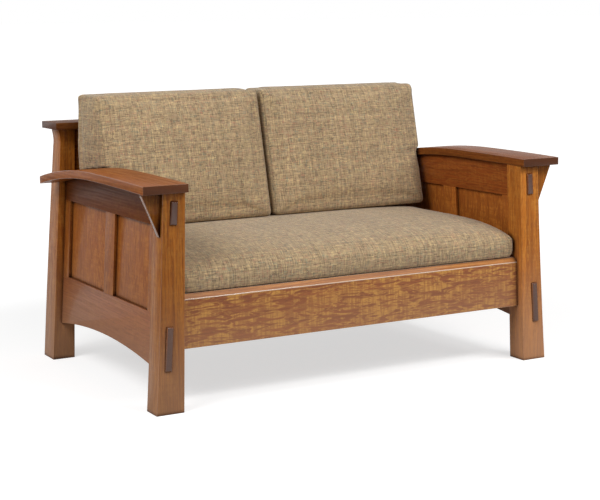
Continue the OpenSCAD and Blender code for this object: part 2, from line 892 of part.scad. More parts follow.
module seat_cushion() {
    seat_y = (seat_cushion_y + seat_cushion_back) / 2;
    half_d = (seat_cushion_back - seat_cushion_y) / 2;
    base = seat_top + soft_gap;
    unit = rounded_square(0.05, side_points, corner_points);
    // Radius of the rounded edge at each point, larger along the rolled front
    radii = [
        for (u = unit) cushion_edge_r + (seat_roll_r - cushion_edge_r) * pow(max(0, -u[1]), 4)
    ];
    function spot(i, inset, s) = [
        unit[i][0] * (seat_cushion_half - inset) * s, unit[i][1] * (half_d - inset) * s
    ];
    function lifted(p, drop) = [
        p[0], seat_y + p[1], seat_face(p[0] / seat_cushion_half, p[1] / half_d) - drop
    ];
    function edge_ring(t) = [
        for (i = [0 : len(unit) - 1]) lifted(spot(i, radii[i] * t, 1), radii[i] * edge_drop(t))
    ];
    function face_ring(s) = [
        for (i = [0 : len(unit) - 1]) lifted(spot(i, radii[i], s), 0)
    ];
    function wall_ring(inset, share) = [
        for (i = [0 : len(unit) - 1])
            let (p = spot(i, inset, 1), edge = lifted(spot(i, 0, 1), radii[i]))
            [p[0], seat_y + p[1], base + (edge[2] - base) * share]
    ];
    points = concat(
        [[0, seat_y, base]],
        wall_ring(12, 0), wall_ring(4, 0.2), wall_ring(0.5, 0.6),
        [for (t = edge_steps) each edge_ring(t)],
        [for (s = face_rings) each face_ring(s)],
        [[0, seat_y, seat_crown_z]]
    );
    rings = 3 + len(edge_steps) + len(face_rings);
    color(tweed) placed() polyhedron(points, skin_faces(rings, len(unit)));
}

// Places of a back cushion's front and back faces at a height
function below_top(z) = 1 - (z - back_cushion_foot) / back_cushion_h;
function cushion_front(z) = back_cushion_front_y - back_cushion_lean * below_top(z);
function cushion_back(z) = back_cushion_back_y - back_cushion_back_lean * below_top(z);

// Smooth step from 0 to 1 as t goes from 0 to 1
function smooth(t) =
    let (c = min(1, max(0, t)))
    c * c * (3 - 2 * c);

// How far out a back cushion's end stands past its plain width at a height, at its back (share 0) or front (1)
function swell(z, share) =
    let (
        top_z = back_cushion_foot + back_cushion_h,
        low = smooth((top_z - z) / (top_z - arm_crown_z))
    )
    (back_cushion_swell * (1 - 0.55 * share) + back_cushion_low_swell * (1 - share) * low)
        * smooth((z - arm_crown_z) / 30);

module back_cushion(left) {
    inner = left ? back_parting + soft_gap : -back_parting;
    half_w = (back_cushion_half - inner) / 2;
    mid_x = inner + half_w;
    half_h = back_cushion_h / 2;
    mid_z = back_cushion_foot + half_h;
    r = cushion_edge_r;
    // The outline runs the other way round here, so that the faces look outward
    turned = rounded_square(0.1, side_points, corner_points);
    unit = [for (i = [1 : len(turned)]) turned[len(turned) - i]];
    function spot(u, inset, s, share) =
        let (z = mid_z + u[1] * (half_h - inset) * s)
        [mid_x + u[0] * (half_w - inset) * s + max(0, u[0]) * swell(z, share) * s, z];
    function crown(u, s) =
        back_cushion_crown * (1 - pow(abs(u[0] * s), 4)) * (1 - pow(abs(u[1] * s), 4));
    function back_ring(t) = [
        for (u = unit)
            let (p = spot(u, r * t, 1, 0))
            [p[0], cushion_back(p[1]) - r * edge_drop(t), p[1]]
    ];
    function front_ring(t, s) = [
        for (u = unit)
            let (p = spot(u, r * t, s, 1))
            [p[0], cushion_front(p[1]) + r * edge_drop(t) - crown(u, s), p[1]]
    ];
    points = concat(
        [[mid_x, cushion_back(mid_z), mid_z]],
        [for (t = [1, 0.5, 0.15, 0]) each back_ring(t)],
        [for (t = edge_steps) each front_ring(t, 1)],
        [for (s = face_rings) each front_ring(1, s)],
        [[mid_x, cushion_front(mid_z) - back_cushion_crown, mid_z]]
    );
    rings = 4 + len(edge_steps) + len(face_rings);
    color(tweed) placed(left) polyhedron(points, skin_faces(rings, len(unit)));
}

front_post(true);  // front_post_left
front_post(false);  // front_post_right
rear_post(true);  // rear_post_left
rear_post(false);  // rear_post_right
arm(true);  // arm_left
arm(false);  // arm_right
corbel(true);  // corbel_left
corbel(false);  // corbel_right
side_top_rail(true);  // side_top_rail_left
side_top_rail(false);  // side_top_rail_right
side_bottom_rail(true);  // side_bottom_rail_left
side_bottom_rail(false);  // side_bottom_rail_right
front_stile(true);  // front_stile_left
front_stile(false);  // front_stile_right
middle_stile(true);  // middle_stile_left
middle_stile(false);  // middle_stile_right
rear_stile(true);  // rear_stile_left
rear_stile(false);  // rear_stile_right
panel(true, front_open_y, middle_stile_y);  // front_panel_left
panel(false, front_open_y, middle_stile_y);  // front_panel_right
panel(true, middle_end_y, rear_stile_y);  // rear_panel_left
panel(false, middle_end_y, rear_stile_y);  // rear_panel_right
seat_front_rail();
seat_rear_rail();
front_cleat();
rear_cleat();
cleat_screws();
seat_slat(0);  // seat_slat_1
seat_slat(1);  // seat_slat_2
seat_slat(2);  // seat_slat_3
seat_slat(3);  // seat_slat_4
seat_slat(4);  // seat_slat_5
seat_slat(5);  // seat_slat_6
seat_slat(6);  // seat_slat_7
seat_slat(7);  // seat_slat_8
seat_slat(8);  // seat_slat_9
back_cap();
back_crest_rail();
back_lower_rail();
back_slat(0);  // back_slat_1
back_slat(1);  // back_slat_2
back_slat(2);  // back_slat_3
back_slat(3);  // back_slat_4
back_slat(4);  // back_slat_5
back_slat(5);  // back_slat_6
back_slat(6);  // back_slat_7
back_slat(7);  // back_slat_8
back_slat(8);  // back_slat_9
seat_cushion();
back_cushion(true);  // back_cushion_left
back_cushion(false);  // back_cushion_right
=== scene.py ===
"""Looks of the shaker loveseat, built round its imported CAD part. Lengths are in metres in the part's own frame:
X runs to the sitter's left, Y runs back and Z runs up from the floor."""

from math import pi

import bmesh
import bpy
import numpy as np
from mathutils import Matrix


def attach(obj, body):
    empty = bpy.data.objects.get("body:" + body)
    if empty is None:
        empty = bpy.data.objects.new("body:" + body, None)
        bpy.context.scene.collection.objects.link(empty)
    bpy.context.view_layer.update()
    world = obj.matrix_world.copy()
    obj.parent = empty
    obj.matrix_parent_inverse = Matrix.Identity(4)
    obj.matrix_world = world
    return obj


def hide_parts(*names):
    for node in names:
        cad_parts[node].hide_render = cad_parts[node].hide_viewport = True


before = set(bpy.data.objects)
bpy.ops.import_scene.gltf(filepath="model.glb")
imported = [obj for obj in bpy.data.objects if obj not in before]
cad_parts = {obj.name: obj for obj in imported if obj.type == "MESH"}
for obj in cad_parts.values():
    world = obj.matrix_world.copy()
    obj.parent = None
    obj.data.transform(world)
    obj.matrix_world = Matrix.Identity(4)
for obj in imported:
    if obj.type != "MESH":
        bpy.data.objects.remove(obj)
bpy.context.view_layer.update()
MM = 0.001
# Distance from the front posts' front face, where the part's source starts, back to the middle of the part
MIDDLE_Y = 453.5


def linear(hex_colour):
    """The linear colour of an sRGB hex value."""
    srgb = np.array([int(hex_colour[i:i + 2], 16) / 255 for i in (1, 3, 5)])
    flat = np.where(srgb <= 0.04045, srgb / 12.92, ((srgb + 0.055) / 1.055) ** 2.4)
    return (*flat.tolist(), 1.0)


def new_material(name):
    """An empty node material."""
    material = bpy.data.materials.new(name)
    material.use_nodes = True
    material.node_tree.nodes.clear()
    return material


def add(material, kind, inputs=None, stops=None, **settings):
    """Adds a node with its settings. Each input, by name or place, is a value or another node's output, and stops are
    a ramp's places and colours."""
    tree = material.node_tree
    node = tree.nodes.new("ShaderNode" + kind)
    for key, value in settings.items():
        setattr(node, key, value)
    for key, value in (inputs or {}).items():
        if isinstance(value, bpy.types.NodeSocket):
            tree.links.new(value, node.inputs[key])
        else:
            node.inputs[key].default_value = value
    if stops:
        ramp = node.color_ramp.elements
        while len(ramp) < len(stops):
            ramp.new(1.0)
        for element, (place, colour) in zip(ramp, stops):
            element.position = place
            element.color = (colour, colour, colour, 1.0) if isinstance(colour, float) else linear(colour)
    return node


# Oak

# Turns that lay each board's own grain along the pattern's X
GRAIN = {"upright": (0, pi / 2, 0), "crosswise": (0, 0, 0), "front_to_back": (0, 0, -pi / 2)}
AXIS = {"upright": (0, 0, 1), "crosswise": (1, 0, 0), "front_to_back": (0, 1, 0)}


def stained_oak(name, grain, ground, dark, light, flake, end, end_coat, coat):
    """Quartersawn white oak, wiped with a brown stain and sprayed with satin lacquer. Quarter sawing leaves straight
    growth lines 2 to 5 mm apart along the board, and cuts the wood's rays into pale flakes that cross them. The stain
    settles in the open pores and soaks into the end grain, which turn dark. Inner corners and recesses are darkened
    too: partly by stain gathered there, partly by painted shade."""
    m = new_material(name)
    place = add(m, "TexCoord")
    board = add(m, "Attribute", attribute_name="board").outputs["Fac"]
    shift = add(m, "CombineXYZ", {"X": board, "Y": board, "Z": board}).outputs[0]
    apart = add(m, "VectorMath", {0: shift, 1: (7.3, 3.1, 5.7)}, operation="MULTIPLY").outputs[0]
    turned = add(m, "Mapping", {"Vector": place.outputs["Object"], "Rotation": GRAIN[grain]}).outputs[0]
    along = add(m, "VectorMath", {0: turned, 1: apart}, operation="ADD").outputs[0]

    def streaks(vector, scale, low, high, detail=2.0, distortion=0.0, rotation=(0, 0, 0)):
        """Noise stretched along the board, as a share that rises from 0 at low to 1 at high."""
        laid = add(m, "Mapping", {"Vector": vector, "Rotation": rotation, "Scale": scale}).outputs[0]
        noise = add(m, "TexNoise", {"Vector": laid, "Scale": 1.0, "Detail": detail, "Roughness": 0.6,
                                    "Distortion": distortion}).outputs["Fac"]
        return add(m, "MapRange", {"Value": noise, "From Min": low, "From Max": high}).outputs[0]

    def times(value, factor):
        """A share made smaller by a factor, or by another share."""
        return add(m, "Math", {0: value, 1: factor}, operation="MULTIPLY").outputs[0]

    def stain(under, share, colour):
        """The colour under, covered by a share of another."""
        return add(m, "Mix", {0: share, 6: under, 7: linear(colour)}, data_type="RGBA").outputs[2]

    # The lines waver by a few millimetres over a hand's length
    slow = add(m, "Mapping", {"Vector": along, "Scale": (2.2, 7, 7)}).outputs[0]
    drift = add(m, "TexNoise", {"Vector": slow, "Scale": 1.0, "Detail": 1.0}).outputs["Color"]
    sway = add(m, "VectorMath", {0: drift, 1: (0, 0.02, 0.02)}, operation="MULTIPLY").outputs[0]
    wavy = add(m, "VectorMath", {0: along, 1: sway}, operation="ADD").outputs[0]
    # Growth lines are drawn about 5 mm apart, the widest that oak has, so that they show
    lines = streaks(wavy, (1.8, 210, 210), 0.4, 0.6, detail=3.0)
    # Bands of the board, 30 to 60 mm wide, from wet and dry years
    bands = streaks(wavy, (0.9, 26, 26), 0.34, 0.66)
    # Pores are dashes 15 to 25 mm long and about 1 mm wide
    pores = streaks(wavy, (48, 1000, 1000), 0.44, 0.34, detail=1.0)
    # Ray flake is leaning ribbons 20 to 60 mm long and 6 to 14 mm wide, gathered in some places of the board
    rays = streaks(along, (13, 66, 66), 0.44, 0.56, detail=3.0, distortion=1.6, rotation=(0, 0.03, 0.04))
    places = streaks(along, (4, 12, 12), 0.3, 0.52, detail=1.0)
    ribs = streaks(along, (120, 16, 16), 0.4, 0.6, detail=1.0, distortion=0.4, rotation=(0, 0.2, 0.2))
    ribbed = add(m, "MapRange", {"Value": ribs, "To Min": 0.45}).outputs[0]
    flakes = times(times(rays, add(m, "MapRange", {"Value": places, "To Min": 0.55}).outputs[0]), times(ribbed, flake))
    base = stain(linear(ground), times(bands, 0.3), dark)
    base = stain(base, times(lines, 0.62), dark)
    base = stain(base, flakes, light)
    base = stain(base, times(pores, 0.45), end)
    # Toward the floor the stain is mixed paler and greyer: a painted reflection of the white floor
    height = add(m, "SeparateXYZ", {0: place.outputs["Object"]}).outputs["Z"]
    painted_floor_reflection = add(m, "MapRange", {"Value": height, "From Min": 0.42, "From Max": 0.0, "To Max": 0.58},
                  interpolation_type="SMOOTHSTEP").outputs[0]
    base = stain(base, painted_floor_reflection, "#aa8468")
    # No two boards take the stain alike, and some boards' tones also hold painted light and shade (see the table of
    # board tones)
    tone_and_shade = add(m, "Attribute", attribute_name="tone_and_shade").outputs["Fac"]
    base = add(m, "Mix", {0: 1.0, 6: base, 7: tone_and_shade}, data_type="RGBA", blend_type="MULTIPLY").outputs[2]
    # End grain shows where the surface faces along the board
    facing = add(m, "VectorMath", {0: place.outputs["Normal"], 1: AXIS[grain]}, operation="DOT_PRODUCT")
    facing = add(m, "Math", {0: facing.outputs["Value"]}, operation="ABSOLUTE").outputs[0]
    ends = add(m, "MapRange", {"Value": facing, "From Min": 0.55, "From Max": 0.78, "To Max": 0.88}).outputs[0]
    base = stain(base, ends, end)
    # Within about 16 mm of an inner corner or recess the wood is darkened: partly stain gathered there, partly painted
    # shade where the corner is shadowed
    corner_stain_and_shade = add(m, "AmbientOcclusion", {"Distance": 0.016}, samples=6).outputs["AO"]
    corner_stain_and_shade = add(m, "MapRange", {"Value": corner_stain_and_shade, "From Min": 0.35, "From Max": 0.85, "To Min": 0.95,
                                "To Max": 0.0}).outputs[0]
    base = stain(base, corner_stain_and_shade, "#2b140b")
    # The lacquer follows the pores and the growth lines a little
    relief = add(m, "Math", {0: pores, 1: -0.8, 2: lines}, operation="MULTIPLY_ADD").outputs[0]
    bump = add(m, "Bump", {"Strength": 0.3, "Distance": 0.0003, "Height": relief}).outputs[0]
    gloss = add(m, "MapRange", {"Value": lines, "To Min": 0.34, "To Max": 0.46}).outputs[0]
    # The ends of the through tenons were sanded smoothest and shine most
    polish = add(m, "Math", {0: ends, 1: end_coat}, operation="MULTIPLY").outputs[0]
    thick = add(m, "Math", {0: polish, 1: coat}, operation="MAXIMUM").outputs[0]
    shader = add(m, "BsdfPrincipled", {"Base Color": base, "Roughness": gloss, "Normal": bump, "IOR": 1.5,
                                       "Specular IOR Level": 0.03, "Coat Weight": thick, "Coat Roughness": 0.13})
    add(m, "OutputMaterial", {"Surface": shader.outputs[0]})
    return m


# Stains: the colours of their ground, growth lines, flake and end grain, how strong the flake is, how thick the lacquer
# is on end grain and on faces, and the grains that boards of the stain have
STAINS = {
    "stained_oak": ("#b06a26", "#6f3816", "#c68a3c", "#4f3226", 0.3, 0.5, 0.12, GRAIN),
    "rail_oak": ("#8e4a1f", "#6b3717", "#a96b2e", "#46291d", 0.3, 1.0, 0.12, ("front_to_back",)),
    "matte_oak": ("#8e4a1f", "#6b3717", "#a96b2e", "#46291d", 0.3, 1.0, 0.01, ("front_to_back",)),
    "arm_oak": ("#925022", "#6b3a18", "#ad702f", "#4c2b1a", 0.3, 0.2, 0.05, ("front_to_back", "crosswise")),
    "panel_oak": ("#94511f", "#7b451c", "#b8742e", "#46291d", 0.5, 0.2, 0.12, ("upright",)),
    "flaked_oak": ("#935530", "#6d3b26", "#bb8741", "#4f3226", 1.0, 0.2, 0.12, ("crosswise",)),
}
OAK = {}
for stain, (ground, dark, light, end, flake, end_coat, coat, grains) in STAINS.items():
    for grain in grains:
        OAK[stain, grain] = [stained_oak(f"{stain}_{grain}", grain, ground, dark, light, flake, end, end_coat, coat)]
# Hands rub the lacquer bright on arrises and slanted faces, where no flake shows. On the seat's front rail these faces
# also take a paler ground: painted light on its up-facing chamfer.
for stain, grain, ground in (("stained_oak", "upright", "#b06a26"), ("arm_oak", "front_to_back", "#925022"),
                             ("flaked_oak", "crosswise", "#b67a42")):
    dark, light, end, _, end_coat = STAINS[stain][1:6]
    shiny = stained_oak(f"{stain}_shiny_{grain}", grain, ground, dark, light, 0.0, end, end_coat, 1.0)
    OAK[stain, grain].append(shiny)
# A painted highlight: the seat's front rail has pale, near-white oak on its rounded arrises, in place of the lamps'
# glint along them
arris_glint = stained_oak("arris_glint_oak_crosswise", "crosswise", "#c1aa95", "#b39b86", "#c1aa95", 0.0, "#b39b86", 0.2, 1.0)
OAK["flaked_oak", "crosswise"].append(arris_glint)

# Wooden pieces: CAD node, stain, grain, and how far its arrises are eased, in mm
SIDES = ("left", "right")
BOARDS = [(f"{name}_{side}", stain, grain, ease) for side in SIDES for name, stain, grain, ease in (
    ("front_post", "stained_oak", "upright", 3.0), ("rear_post", "stained_oak", "upright", 3.0),
    ("arm", "arm_oak", "front_to_back", 2.4), ("corbel", "stained_oak", "upright", 1.2),
    ("side_top_rail", "matte_oak", "front_to_back", 1.0), ("side_bottom_rail", "rail_oak", "front_to_back", 1.0),
    ("front_stile", "panel_oak", "upright", 0.8), ("middle_stile", "panel_oak", "upright", 0.8),
    ("rear_stile", "panel_oak", "upright", 0.8), ("front_panel", "panel_oak", "upright", 0.4),
    ("rear_panel", "panel_oak", "upright", 0.4))]
BOARDS += [
    ("seat_front_rail", "flaked_oak", "crosswise", 1.6), ("seat_rear_rail", "flaked_oak", "crosswise", 1.2),
    ("front_cleat", "stained_oak", "crosswise", 0.8), ("rear_cleat", "stained_oak", "crosswise", 0.8),
    ("back_cap", "arm_oak", "crosswise", 1.8), ("back_crest_rail", "stained_oak", "crosswise", 1.0),
    ("back_lower_rail", "stained_oak", "crosswise", 1.2)]
BOARDS += [(f"seat_slat_{i}", "stained_oak", "front_to_back", 1.2) for i in range(1, 10)]
BOARDS += [(f"back_slat_{i}", "stained_oak", "upright", 0.8) for i in range(1, 10)]
# Boards that hands and legs rub, with glossier arrises and slanted faces; on the seat's front rail these also carry
# painted light and a painted highlight
SHINY = ("front_post", "arm", "corbel", "seat_front_rail")

# How much lighter or darker a board is than the rest, where it shows. Partly it took the stain unlike the rest,
# partly the tones are painted light and shade: the front posts' tones paint the key lamp lighting the right post more
# than the left, and the darker left corbel and left side's top rail paint the arm's shadow on them
TONES_AND_SHADE = {"front_post_right": 1.25, "front_post_left": 0.86, "rear_post_left": 1.0, "rear_post_right": 0.86,
         "back_cap": 0.45, "side_bottom_rail_left": 1.02, "arm_left": 0.95, "arm_right": 0.76, "corbel_left": 0.55,
         "side_top_rail_left": 0.58, "side_top_rail_right": 1.2, "seat_front_rail": 1.15, "front_stile_left": 0.9,
         "middle_stile_left": 0.9, "rear_stile_left": 0.85, "front_panel_right": 1.3, "rear_panel_right": 1.2,
         "front_stile_right": 1.3, "middle_stile_right": 1.3, "rear_stile_right": 1.1}


# How steeply a face's normal rises or falls where the face counts as slanted
SLANT_MIN, SLANT_MAX = 0.2, 0.85
# An edge runs along the grain from this cosine on, and is an arris from this angle and length on
ALONG, ARRIS_ANGLE, ARRIS_LENGTH = 0.9, 0.5, 2 * MM


def eased_copy(node, materials, ease, board, axis):
    """A copy of a CAD node with its triangles joined into whole faces and its arrises rounded over: those of a slanted
    face along axis by ease mm, the others along it by 0.4 of that and those across it by 0.2. The rounded strips take
    the last material, and the slanted faces the second. board is this board's own number, from 0 to 1."""
    b = bmesh.new()
    b.from_mesh(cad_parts[node].data)
    bmesh.ops.remove_doubles(b, verts=b.verts, dist=1e-5)
    bmesh.ops.dissolve_limit(b, angle_limit=0.003, verts=b.verts, edges=b.edges)
    arris = b.edges.layers.float.new("bevel_weight_edge")
    for edge in b.edges:
        run = (edge.verts[1].co - edge.verts[0].co).normalized()
        slants = any(SLANT_MIN < abs(face.normal.z) < SLANT_MAX for face in edge.link_faces)
        ease_share = 0.2 if abs(run.dot(axis)) < ALONG else 1.0 if slants else 0.4
        # The rims of screw holes are short edges, and stay sharp
        is_arris = edge.calc_face_angle(0) > ARRIS_ANGLE and edge.calc_length() > ARRIS_LENGTH
        edge[arris] = ease_share if is_arris else 0.0
    mesh = bpy.data.meshes.new(node + "_eased")
    b.to_mesh(mesh)
    b.free()
    for material in materials:
        mesh.materials.append(material)
    facing = np.empty(len(mesh.polygons) * 3)
    mesh.polygons.foreach_get("normal", facing)
    slant = np.abs(facing.reshape(-1, 3)[:, 2])
    slanted = (slant > SLANT_MIN) & (slant < SLANT_MAX)
    mesh.polygons.foreach_set("material_index", slanted.astype(np.int32) * min(1, len(materials) - 1))
    mesh.polygons.foreach_set("use_smooth", np.ones(len(mesh.polygons), dtype=bool))
    for word, value in (("board", board), ("tone_and_shade", TONES_AND_SHADE.get(node, 0.95 + 0.1 * board))):
        own = mesh.attributes.new(word, "FLOAT", "POINT")
        own.data.foreach_set("value", np.full(len(mesh.vertices), value, dtype=np.float32))
    piece = bpy.data.objects.new(node + "_eased", mesh)
    bpy.context.collection.objects.link(piece)
    round_over = piece.modifiers.new("round_over", "BEVEL")
    round_over.width = ease * MM
    round_over.segments = 2
    round_over.limit_method = "WEIGHT"
    round_over.material = len(materials) - 1
    round_over.harden_normals = True
    return piece


for i, (node, stain, grain, ease) in enumerate(BOARDS):
    shiny = node.startswith(SHINY)
    materials = OAK[stain, grain] if shiny else OAK[stain, grain][:1]
    piece = eased_copy(node, materials, ease, (i + 1) * 0.618 % 1, AXIS[grain])
    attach(piece, "frame")
    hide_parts(node)


# Screws

def zinc_plated_steel():
    """Bright zinc plating on turned steel screws: a pale metal, slightly blue, with fine turning marks."""
    m = new_material("zinc_plated_steel")
    place = add(m, "TexCoord").outputs["Object"]
    marks_map = add(m, "Mapping", {"Vector": place, "Scale": (900, 900, 250)}).outputs[0]
    marks = add(m, "TexNoise", {"Vector": marks_map, "Scale": 1.0, "Detail": 2.0}).outputs["Fac"]
    colour = add(m, "ValToRGB", {0: marks}, stops=[(0.3, "#a7abb0"), (0.7, "#cfd2d4")]).outputs[0]
    gloss = add(m, "MapRange", {"Value": marks, "To Min": 0.26, "To Max": 0.42}).outputs[0]
    bump = add(m, "Bump", {"Strength": 0.2, "Distance": 0.0001, "Height": marks}).outputs[0]
    shader = add(m, "BsdfPrincipled", {"Base Color": colour, "Metallic": 1.0, "Roughness": gloss, "Normal": bump})
    add(m, "OutputMaterial", {"Surface": shader.outputs[0]})
    return m


screws = eased_copy("cleat_screws", (zinc_plated_steel(),), 0.2, 0.0, AXIS["upright"])
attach(screws, "frame")
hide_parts("cleat_screws")


# Tweed

# How nearly a surface faces along X where a cushion's main cloth is sewn to its ends
SEAM = 0.72


def wool_tweed():
    """Plain-woven wool tweed: tan yarns with lengths of dark brown, grey, rust and green spun in. Each yarn dives under
    the next every few millimetres, so its colours show as short dashes that run both ways. The nap is matt, with a
    soft sheen at grazing angles."""
    m = new_material("wool_tweed")
    laid_out = add(m, "Attribute", attribute_name="weave").outputs["Vector"]
    place = add(m, "SeparateXYZ", {0: add(m, "TexCoord").outputs["Object"]}).outputs
    # The ends of a cushion are cloths of their own, which start where the surface turns to face along X
    turned = add(m, "SeparateXYZ", {0: laid_out}).outputs["Z"]
    on_end = add(m, "Math", {0: turned, 1: SEAM}, operation="GREATER_THAN").outputs[0]
    end_cloth = add(m, "CombineXYZ", {"X": place["Y"], "Y": place["Z"], "Z": 3.0}).outputs[0]
    weave = add(m, "Mix", {0: on_end, 4: laid_out, 5: end_cloth}, data_type="VECTOR").outputs[1]
    # Yarns are not quite straight: they wander by about 1 mm
    bent = add(m, "TexNoise", {"Vector": weave, "Scale": 90.0, "Detail": 1.0}).outputs["Color"]
    bend = add(m, "VectorMath", {0: bent, 1: (0.002, 0.002, 0)}, operation="MULTIPLY").outputs[0]
    laid = add(m, "VectorMath", {0: weave, 1: bend}, operation="ADD").outputs[0]
    split = add(m, "SeparateXYZ", {0: laid}).outputs
    # Real yarns lie 1.8 mm apart: they are drawn 2.4 mm apart, so that they show
    pitch = 0.0024

    def cell(value, size, shift=None):
        """The number of the cell of that size that value is in, with shift added in cells."""
        scaled = add(m, "Math", {0: value, 1: 1 / size}, operation="MULTIPLY").outputs[0]
        if shift:
            scaled = add(m, "Math", {0: scaled, 1: shift}, operation="ADD").outputs[0]
        return add(m, "Math", {0: scaled}, operation="FLOOR").outputs[0]

    def yarns(across, run, length, seed):
        """A number from 0 to 1 for each dash: yarn by yarn across the cloth, and length by length along it."""
        yarn = cell(across, pitch)
        start = add(m, "TexWhiteNoise", {"W": yarn}, noise_dimensions="1D").outputs["Value"]
        start = add(m, "Math", {0: start, 1: 9.0}, operation="MULTIPLY").outputs[0]
        dash = cell(run, length, start)
        spot = add(m, "CombineXYZ", {"X": yarn, "Y": dash, "Z": seed}).outputs[0]
        return yarn, add(m, "TexWhiteNoise", {"Vector": spot}, noise_dimensions="3D").outputs["Value"]

    row, weft = yarns(split["Y"], split["X"], 0.013, 3.0)
    column, warp = yarns(split["X"], split["Y"], 0.014, 8.0)
    across = add(m, "ValToRGB", {0: weft}, stops=[
        (0.0, "#736350"), (0.09, "#8a755c"), (0.27, "#9f8868"), (0.5, "#af9773"), (0.78, "#c2a87c"), (0.88, "#a9785f"),
        (0.92, "#87866f"), (0.96, "#99846e")])
    down = add(m, "ValToRGB", {0: warp}, stops=[
        (0.0, "#7d6b55"), (0.08, "#967f63"), (0.27, "#a8906f"), (0.55, "#b79d79"), (0.82, "#cab080"), (0.91, "#ad8067"),
        (0.95, "#8c8a73")])
    for ramp in (across, down):
        ramp.color_ramp.interpolation = "CONSTANT"
    # The yarn on top hides most of the one below
    both = add(m, "Math", {0: row, 1: column}, operation="ADD").outputs[0]
    over = add(m, "Math", {0: both, 1: 2.0}, operation="FLOORED_MODULO").outputs[0]
    over = add(m, "MapRange", {"Value": over, "To Min": 0.25, "To Max": 0.7}).outputs[0]
    base = add(m, "Mix", {0: over, 6: across.outputs[0], 7: down.outputs[0]}, data_type="RGBA").outputs[2]
    # Each yarn was dyed apart, so faint lines run the cloth's whole width and length
    for yarn, seed in ((row, 17.0), (column, 53.0)):
        number = add(m, "Math", {0: yarn, 1: seed}, operation="ADD").outputs[0]
        dye = add(m, "TexWhiteNoise", {"W": number}, noise_dimensions="1D").outputs["Value"]
        dye = add(m, "MapRange", {"Value": dye, "To Min": 0.87, "To Max": 1.13}).outputs[0]
        base = add(m, "Mix", {0: 1.0, 6: base, 7: dye}, data_type="RGBA", blend_type="MULTIPLY").outputs[2]
    # Dye lots and rubbing leave soft clouds a hand wide
    clouds = add(m, "TexNoise", {"Vector": weave, "Scale": 9.0, "Detail": 3.0}).outputs["Fac"]
    cloud = add(m, "MapRange", {"Value": clouds, "From Min": 0.3, "From Max": 0.7, "To Min": 0.93,
                                "To Max": 1.05}).outputs[0]
    base = add(m, "Mix", {0: 1.0, 6: base, 7: cloud}, data_type="RGBA", blend_type="MULTIPLY").outputs[2]
    # Each crossing is a small dome: the yarn on top stands 0.4 mm proud of the one below
    domes = [add(m, "Math", {0: add(m, "Math", {0: way, 1: pi / pitch}, operation="MULTIPLY").outputs[0]},
                 operation="SINE").outputs[0] for way in (split["X"], split["Y"])]
    dome = add(m, "Math", {0: domes[0], 1: domes[1]}, operation="MULTIPLY").outputs[0]
    dome = add(m, "Math", {0: dome}, operation="ABSOLUTE").outputs[0]
    # The seams round the ends pull the cloth into a groove 3 mm wide, whose colour is darkened with painted shade
    away = add(m, "Math", {0: add(m, "Math", {0: turned, 1: SEAM}, operation="SUBTRACT").outputs[0]},
               operation="ABSOLUTE").outputs[0]
    groove_and_shade = add(m, "MapRange", {"Value": away, "From Max": 0.07, "To Min": 0.4, "To Max": 0.0}).outputs[0]
    base = add(m, "Mix", {0: groove_and_shade, 6: base, 7: linear("#6b5b46")}, data_type="RGBA").outputs[2]
    height = add(m, "Math", {0: groove_and_shade, 1: -3.0, 2: dome}, operation="MULTIPLY_ADD").outputs[0]
    bump = add(m, "Bump", {"Strength": 0.6, "Distance": 0.0008, "Height": height}).outputs[0]
    shader = add(m, "BsdfPrincipled", {"Base Color": base, "Roughness": 0.92, "Normal": bump, "IOR": 1.4,
                                       "Specular IOR Level": 0.3, "Sheen Weight": 0.26, "Sheen Roughness": 0.45})
    add(m, "OutputMaterial", {"Surface": shader.outputs[0]})
    return m


def round_square(corner, steps):
    """Unit square with rounded corners, as steps points evenly spaced round it: each side is straight up to corner
    from its end, and each corner is a quarter circle of that radius."""
    side = 2 * (1 - corner)
    quarter = side + corner * pi / 2
    s = np.arange(steps) / steps * 4 * quarter
    turn, run = np.divmod(s, quarter)
    angle = np.clip((run - side) / corner, 0, pi / 2)
    x = 1 - corner + corner * np.cos(angle)
    y = np.where(run < side, run - side / 2, side / 2 + corner * np.sin(angle))
    c, d = np.cos(turn * pi / 2), np.sin(turn * pi / 2)
    return x * c - y * d, x * d + y * c


def smooth(t):
    """Smooth step from 0 to 1: 3t squared less 2t cubed."""
    t = np.clip(t, 0, 1)
    return t * t * (3 - 2 * t)


def closed_skin(name, rings, first, last, front, back):
    """A closed mesh from rings of points, of shape rings x steps x 3 in mm, with a pole at each end. It comes with its
    middle section in Y and Z, which goes up the points numbered front and down those numbered back."""
    count, steps = rings.shape[:2]
    points = np.vstack([first, rings.reshape(-1, 3), last]) * MM
    here = np.arange(steps)
    there = (here + 1) % steps
    start = 1 + np.arange(count - 1)[:, None] * steps
    quads = np.stack([start + here, start + there, start + steps + there, start + steps + here], axis=-1)
    top = 1 + (count - 1) * steps
    fans = np.vstack([np.stack([np.zeros(steps, int), 1 + there, 1 + here], 1),
                      np.stack([np.full(steps, len(points) - 1), top + here, top + there], 1)])
    mesh = bpy.data.meshes.new(name)
    mesh.from_pydata(points.tolist(), [], quads.reshape(-1, 4).tolist() + fans.tolist())
    b = bmesh.new()
    b.from_mesh(mesh)
    bmesh.ops.recalc_face_normals(b, faces=b.faces)
    b.to_mesh(mesh)
    b.free()
    piece = bpy.data.objects.new(name, mesh)
    bpy.context.collection.objects.link(piece)
    loop = np.vstack([first, rings[:, front], last, rings[::-1, back], first])[:, 1:] * MM
    share = np.linspace(0, len(loop) - 1, 12 * len(loop))
    section = np.stack([np.interp(share, np.arange(len(loop)), loop[:, i]) for i in (0, 1)], 1)
    return piece, section


